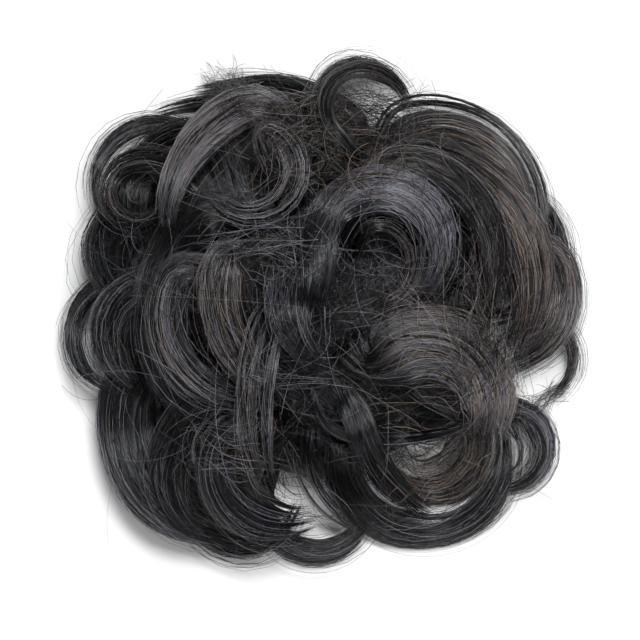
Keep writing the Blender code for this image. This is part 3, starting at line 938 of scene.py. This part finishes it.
    def build(self, fibre: bpy.types.Material, combed: bpy.types.Material) -> int:
        """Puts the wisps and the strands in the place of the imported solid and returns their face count."""
        node = "lock_" + self.lock.name
        wisps = hang(self.wisps().write(self.lock.name + "_wisps", combed), node)
        return wisps + hang(self.strands().write(self.lock.name + "_strands", fibre), node)


def scattered(
    draw: np.random.Generator, count: int, centre: np.ndarray, radius: float
) -> tuple[np.ndarray, np.ndarray]:
    """Draws points evenly over a disc.

    Args:
        draw: The random source.
        count: How many points.
        centre: The disc's centre in plan.
        radius: Its radius.

    Returns:
        The points as rows, and the angle at which each lies.
    """
    away = np.sqrt(draw.uniform(0, 1, count)) * radius
    turn = draw.uniform(0, TURN, count)
    return centre + away[:, None] * np.column_stack([np.cos(turn), np.sin(turn)]), turn


def walked(middle: np.ndarray, way: np.ndarray, length: np.ndarray) -> np.ndarray:
    """Lays out plan paths as cumulative sums of equal steps, each in its own direction.

    Args:
        middle: Where each path's middle point goes, one row each.
        way: The direction at every point, (paths, points).
        length: Each path's length.

    Returns:
        The plan points, (paths, points, 2).
    """
    points = way.shape[1]
    step = (length / (points - 1))[:, None, None]
    plan = np.cumsum(np.stack([np.cos(way), np.sin(way)], axis=-1) * step, axis=1)
    return middle[:, None] + plan - plan[:, points // 2][:, None]


@dataclass
class LooseHairs:
    """Single hairs outside the locks, in one piece. tone, from painted shade to painted sheen, and warmth are a
    mean and a deviation each.
    """

    seed: int
    points: int
    radius: float
    uneven: float
    tone: tuple[float, float]
    warmth: tuple[float, float]

    def grown(
        self,
        paths: np.ndarray,
        draw: np.random.Generator,
        light: np.ndarray | float = 0.0,
        warm: np.ndarray | float = 0.0,
    ) -> Shape:
        """Gives every path its own thickness and colour.

        Args:
            paths: The hairs' points, (hairs, points, 3).
            draw: The random source.
            light: What is added to their tones, a painted sheen.
            warm: What is added to their warmth.

        Returns:
            The arrays of all the hairs as one piece.
        """
        count = len(paths)
        sizes = draw.uniform(1 - self.uneven, 1 + self.uneven, (count, 1))
        tones = np.clip(light + draw.normal(*self.tone, count), 0, 1)
        warmth = np.clip(warm + draw.normal(*self.warmth, count), 0, 1)
        return strand_shape(paths, self.radius * sizes * np.ones((1, self.points)), tones, warmth)


@dataclass
class Frizz(LooseHairs):
    """Short curly hairs that stand up between the locks, patch by patch."""

    seed: int = 900
    points: int = 10
    radius: float = 0.065 * MM
    uneven: float = 0.4
    tone: tuple[float, float] = (-0.1, 0.3)
    warmth: tuple[float, float] = (0.0, 0.25)
    shortest: float = 10 * MM
    bend: float = 1.5
    usual_spread: float = 50.0
    wave: float = 0.4

    def paths(self, patch: Patch, field: HeightField, draw: np.random.Generator) -> np.ndarray:
        """Hairs of one patch: each runs on with a steady bend and a wave, at a height over the curls.

        Args:
            patch: The patch.
            field: The height of the curls.
            draw: The random source.

        Returns:
            The paths, (hairs, points, 3).
        """
        rows = (patch.hairs, 1)
        part = np.linspace(0, 1, self.points)
        centre = np.array([patch.x, patch.y]) * HAIR_RADIUS
        middle, _ = scattered(draw, patch.hairs, centre, patch.radius * HAIR_RADIUS)
        flip = draw.choice([0, math.pi], patch.hairs)[:, None]
        heading = np.radians(patch.heading + draw.normal(0, patch.spread, rows)) + flip
        bend = draw.normal(0, self.bend * patch.curl * patch.spread / self.usual_spread, rows)
        wave, phase = draw.normal(0, self.wave, rows), draw.uniform(0, TURN, rows)
        way = heading + bend * part + wave * np.sin(TURN * part + phase)
        plan = walked(middle, way, draw.uniform(self.shortest, patch.longest, patch.hairs))
        lift = draw.uniform(-0.5, 2.2, rows) * MM
        rise = draw.exponential(1.6, rows) * MM * np.sin(math.pi * part)
        height = soften((field.at(plan) + lift + rise).T, 1).T
        return np.concatenate([plan, height[..., None]], axis=-1)

    def build(self, field: HeightField, fibre: bpy.types.Material) -> int:
        """Makes the hairs of all the patches as one piece and returns its face count."""
        draw = np.random.default_rng(self.seed)
        paths = np.concatenate([self.paths(patch, field, draw) for patch in PATCHES])
        count = [patch.hairs for patch in PATCHES]
        # Each patch's light, painted shade to painted sheen, added to its hairs' tones.
        light = np.repeat([patch.light for patch in PATCHES], count)
        warm = np.repeat([patch.warm for patch in PATCHES], count)
        return hang(self.grown(paths, draw, light, warm).write("frizz_hairs", fibre))


@dataclass
class UnderLayer(LooseHairs):
    """The mass of short hair round the cap: a body in painted shade, and strands that lie over its dome.

    inset is how much of the body's half width the middles of the strands keep to, and overhang how much of it
    the strands themselves do.
    """

    seed: int = 901
    points: int = 10
    radius: float = 0.10 * MM
    uneven: float = 0.3
    # A low tone: the strands are painted darker, as shade under the locks.
    tone: tuple[float, float] = (0.12, 0.22)
    warmth: tuple[float, float] = (0.2, 0.25)
    strands: int = 1300
    shortest: float = 14 * MM
    longest: float = 42 * MM
    proud: float = 3.0 * MM
    inset: float = 0.97
    overhang: float = 1.02

    def strand_paths(self, draw: np.random.Generator) -> np.ndarray:
        """Strands that wander over the dome, each along a steadily turning heading.

        Args:
            draw: The random source.

        Returns:
            The paths, (strands, points, 3).
        """
        low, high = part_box("under_layer")
        reach = (high.x - low.x) / 2
        centre = np.array([(low.x + high.x) / 2, (low.y + high.y) / 2])
        middle, turn = scattered(draw, self.strands, centre, self.inset * reach)
        rows = (self.strands, 1)
        part = np.linspace(0, 1, self.points)
        way = turn[:, None] + draw.normal(0.5, 0.6, rows) + draw.normal(0.4, 0.7, rows) * part
        plan = walked(middle, way, draw.uniform(self.shortest, self.longest, self.strands))
        away = np.linalg.norm(plan - centre, axis=-1, keepdims=True)
        plan = centre + (plan - centre) * np.minimum(1, self.overhang * reach / np.maximum(away, 1e-6))
        lift = self.proud * draw.uniform(0.2, 1.0, rows) * np.sqrt(np.sin(math.pi * part))
        height = HeightField(["under_layer"]).at(plan) + lift
        return np.concatenate([plan, height[..., None]], axis=-1)

    def body(self, combed: bpy.types.Material) -> bpy.types.Object:
        """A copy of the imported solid's mesh, with grooves that run outwards from the crown.

        The UV turns forth over one half of the circle and back over the other, so that it has no seam.
        """
        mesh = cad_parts["under_layer"].data
        place, _ = mesh_arrays(mesh)
        away = np.linalg.norm(place, axis=1)
        turn = np.abs(np.arctan2(place[:, 1], place[:, 0]))
        faces = [list(polygon.vertices) for polygon in mesh.polygons]
        uv = np.column_stack([turn * CAP_RADIUS, away])
        # Tone 0, the ramps' darkest end: the body is painted in shade.
        dark = np.zeros(len(place))
        return Shape(place, faces, dark, dark, uv).write("under_layer_body", combed)

    def build(self, fibre: bpy.types.Material, combed: bpy.types.Material) -> int:
        """Makes the layer's strands and its dark body, and returns their face count."""
        draw = np.random.default_rng(self.seed)
        strands = self.grown(self.strand_paths(draw), draw).write("under_layer_strands", fibre)
        return hang(strands, "under_layer") + hang(self.body(combed), "under_layer")


@dataclass
class Flyaways(LooseHairs):
    """Single long hairs that have come loose: some follow a curl at a distance, some lie across the top.

    middle and scatter place the middles of those that lie across, in shares of HAIR_RADIUS.
    """

    seed: int = 700
    points: int = 20
    radius: float = 0.05 * MM
    uneven: float = 0.4
    # A high tone: a painted highlight, as where thin loose hairs catch the light.
    tone: tuple[float, float] = (0.75, 0.3)
    warmth: tuple[float, float] = (0.3, 0.3)
    following: int = 6
    crossing: int = 90
    shortest: float = 20 * MM
    longest: float = 70 * MM
    middle: tuple[float, float] = (-0.18, 0.0)
    scatter: float = 0.42
    margin: float = 3 * MM

    def crossing_paths(self, field: HeightField, draw: np.random.Generator) -> np.ndarray:
        """Long hairs across the top: gently bent in plan, a little above the softened curls.

        Args:
            field: The height of the curls.
            draw: The random source.

        Returns:
            The paths, (hairs, points, 3).
        """
        rows = (self.crossing, 1)
        part = np.linspace(0, 1, self.points)
        middle = draw.normal(self.middle, self.scatter, (self.crossing, 2)) * HAIR_RADIUS
        way = draw.uniform(0, TURN, rows) + draw.normal(0, 1.3, rows) * (part - 0.5)
        plan = walked(middle, way, draw.uniform(self.shortest, self.longest, self.crossing))
        height = soften(field.at(plan).T, 2).T
        lift = draw.uniform(0.5, 2.0, rows) * MM + draw.exponential(2.0, rows) * MM * part**2
        return np.concatenate([plan, (height + lift)[..., None]], axis=-1)

    def build(self, locks: list[CurledLock], field: HeightField, fibre: bpy.types.Material) -> int:
        """Makes the loose hairs as one piece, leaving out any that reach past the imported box.

        Args:
            locks: The finished locks, which some hairs follow.
            field: The height of the curls.
            fibre: The hairs' material.

        Returns:
            How many faces the piece has.
        """
        draw = np.random.default_rng(self.seed)
        paths = [lock.strays(self.following, self.points) for lock in locks]
        paths = np.concatenate([*paths, self.crossing_paths(field, draw)])
        low, high = (np.array(corner) for corner in CAD_BOX)
        inside = ((paths > low - self.margin) & (paths < high + self.margin)).all(axis=(1, 2))
        return hang(self.grown(paths[inside], draw).write("flyaway_hairs", fibre))


@dataclass(frozen=True)
class SoftBox:
    """A rectangular light: where it stands and its two sides, in metres, and its power in watts."""

    name: str
    place: tuple[float, float, float]
    size: tuple[float, float]
    power: float

    def build(self) -> None:
        """Makes the light, facing the hairpiece."""
        light = bpy.data.lights.new(self.name, "AREA")
        light.shape = "RECTANGLE"
        light.size, light.size_y = self.size
        light.energy = self.power
        obj = bpy.data.objects.new(self.name, light)
        obj.location = self.place
        obj.rotation_euler = (-Vector(self.place)).to_track_quat("-Z", "Y").to_euler()
        bpy.context.scene.collection.objects.link(obj)


@dataclass
class Studio:
    """A white sweep, two soft boxes and a straight-down camera."""

    floor_half: float = 1.5
    lights: tuple[SoftBox, ...] = (
        SoftBox("key_softbox", (0.1, 0.32, 0.85), (0.45, 0.25), 8.4),
        SoftBox("fill_softbox", (0.3, -0.45, 0.8), (0.6, 0.6), 2.6),
    )
    surround: float = 0.14
    camera_height: float = 0.95
    framed_height: float = 0.012
    sensor: float = 36.0

    def build(self) -> None:
        """Makes the floor, the lights, the world and the camera."""
        self.floor()
        for light in self.lights:
            light.build()
        self.world()
        self.camera()

    def floor(self) -> None:
        """Makes the white floor under the hairpiece."""
        half = self.floor_half
        corners = np.array([[-half, -half, 0], [half, -half, 0], [half, half, 0], [-half, half, 0]])
        made, tree = new_tree("paper_white_matt")
        surface(tree, {"Base Color": linear("fbfbfb"), "Roughness": 0.9, "Specular IOR Level": 0.1})
        Shape(corners, [[0, 1, 2, 3]]).write("floor", made)

    def world(self) -> None:
        """Sets a plain pale surround and a plain view transform."""
        world = bpy.data.worlds.new("studio")
        world.use_nodes = True
        background = world.node_tree.nodes["Background"]
        background.inputs["Color"].default_value = linear("f4f6fa")
        background.inputs["Strength"].default_value = self.surround
        scene = bpy.context.scene
        scene.world = world
        scene.view_settings.view_transform = "Standard"
        scene.view_settings.look = "None"

    def camera(self) -> None:
        """Makes a camera straight above, framed so that a pixel is PIXEL wide at the curls' height."""
        lens = bpy.data.cameras.new("camera")
        lens.sensor_width = self.sensor
        lens.lens = self.sensor * (self.camera_height - self.framed_height) / (IMAGE_SIDE * PIXEL)
        obj = bpy.data.objects.new("camera", lens)
        middle = IMAGE_SIDE / 2
        obj.location = (
            (middle - MIDDLE_PIXEL[0]) * PIXEL,
            (MIDDLE_PIXEL[1] - middle) * PIXEL,
            self.camera_height,
        )
        bpy.context.scene.collection.objects.link(obj)
        bpy.context.scene.camera = obj


@dataclass
class NetCap:
    """The domed foundation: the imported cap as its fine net, and thicker threads crossing inside it."""

    wall: float = 1.6 * MM
    inset: float = 0.8 * MM
    spacing: float = 3.5 * MM
    thread: float = 0.25 * MM
    points: int = 28
    steepest: float = 88.0

    def threads(self) -> Shape:
        """Threads in two square families on the inside of the dome.

        At c from the middle, the half chord is a = sqrt(R² - c²), and a point of the thread at turn u is at
        a sin u along it and base + H (a / R) cos u high.

        Returns:
            The arrays of all the threads as one piece.
        """
        low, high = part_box("net_cap")
        reach = CAP_RADIUS - self.wall - self.inset
        rise = high.z - low.z - self.wall - self.inset
        aside = np.arange(-reach + self.spacing, reach, self.spacing)[:, None]
        half = np.sqrt(reach**2 - aside**2)
        turn = np.radians(np.linspace(-self.steepest, self.steepest, self.points))
        far = half * np.sin(turn)
        height = low.z + rise * half / reach * np.cos(turn)
        near = aside * np.ones_like(far)
        paths = np.concatenate([np.stack([near, far, height], -1), np.stack([far, near, height], -1)])
        radii = self.thread * np.ones(paths.shape[:2])
        return strand_shape(paths, radii, np.zeros(len(paths)), np.zeros(len(paths)))

    def build(self) -> int:
        """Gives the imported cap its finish, adds the threads, and returns their face count."""
        net = KnitFinish("nylon_net_knitted", "08080a", "1a1a1d", 0.5 * MM).make()
        yarn = KnitFinish("nylon_yarn_twisted", "0c0c0e", "2a2a2e", 0.25 * MM).make()
        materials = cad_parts["net_cap"].data.materials
        materials.clear()
        materials.append(net)
        piece = self.threads().write("net_cap_threads", yarn)
        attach(piece, "root")
        return len(piece.data.polygons)


@dataclass
class ElasticRim:
    """The elastic band along the cap's edge, with the fine ribs of its weave."""

    wall: float = 2.4 * MM
    ribs: int = 150
    around: int = 900
    sides: int = 14
    relief: float = 0.05
    squareness: float = 0.35

    def band(self) -> Shape:
        """A closed band: a rounded oblong carried round a circle, its section shrunk between the ribs.

        At turn t and section angle s, with k = 1 - relief (1 + cos(ribs t)) / 2 and P the signed power
        sgn(v) |v|^squareness, the radius is middle + k w P(cos s) and the height h + k h P(sin s).

        Returns:
            The band's arrays.
        """
        low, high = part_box("elastic_rim")
        half = (high.z - low.z) / 2
        turn = np.linspace(0, TURN, self.around, endpoint=False)[:, None]
        angle = np.linspace(0, TURN, self.sides, endpoint=False) + math.pi / self.sides
        shrink = 1 - self.relief * (1 + np.cos(self.ribs * turn)) / 2
        wide, tall = (np.sign(v) * np.abs(v) ** self.squareness for v in (np.cos(angle), np.sin(angle)))
        reach = (high.x - low.x) / 2 - self.wall / 2 + shrink * self.wall / 2 * wide
        height = low.z + half + half * tall * np.where(tall < 0, 1.0, shrink)
        points = np.stack([reach * np.cos(turn), reach * np.sin(turn), height], axis=-1)
        number = np.arange(self.around * self.sides).reshape(self.around, self.sides)
        there = np.roll(number, -1, 0)
        faces = np.stack([number, there, np.roll(there, -1, 1), np.roll(number, -1, 1)], axis=-1)
        return Shape(points.reshape(-1, 3), faces.reshape(-1, 4).tolist())

    def build(self) -> int:
        """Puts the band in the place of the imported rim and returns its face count."""
        elastic = KnitFinish("nylon_elastic_woven", "0a0a0b", "202023", 0.8 * MM).make()
        piece = self.band().write("elastic_rim_band", elastic)
        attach(piece, "root")
        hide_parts("elastic_rim")
        return len(piece.data.polygons)


def main() -> None:
    """Builds the hairpiece, the studio round it, and reports each piece."""
    logging.basicConfig(level=logging.INFO, format="%(message)s")
    Studio().build()
    fibre = FibreFinish().make()
    combed = CombedFinish().make()
    LOG.info("net cap: %d faces", NetCap().build())
    LOG.info("elastic rim: %d faces", ElasticRim().build())
    LOG.info("under layer: %d faces", UnderLayer().build(fibre, combed))
    locks = [CurledLock(lock, seed) for seed, lock in enumerate(LOCKS)]
    for lock in locks:
        LOG.info("%s: %d faces", lock.lock.name, lock.build(fibre, combed))
    field = HeightField(["lock_" + lock.name for lock in LOCKS] + ["under_layer"])
    LOG.info("frizz: %d faces", Frizz().build(field, fibre))
    LOG.info("flyaways: %d faces", Flyaways().build(locks, field, fibre))


if __name__ == "__main__":
    main()
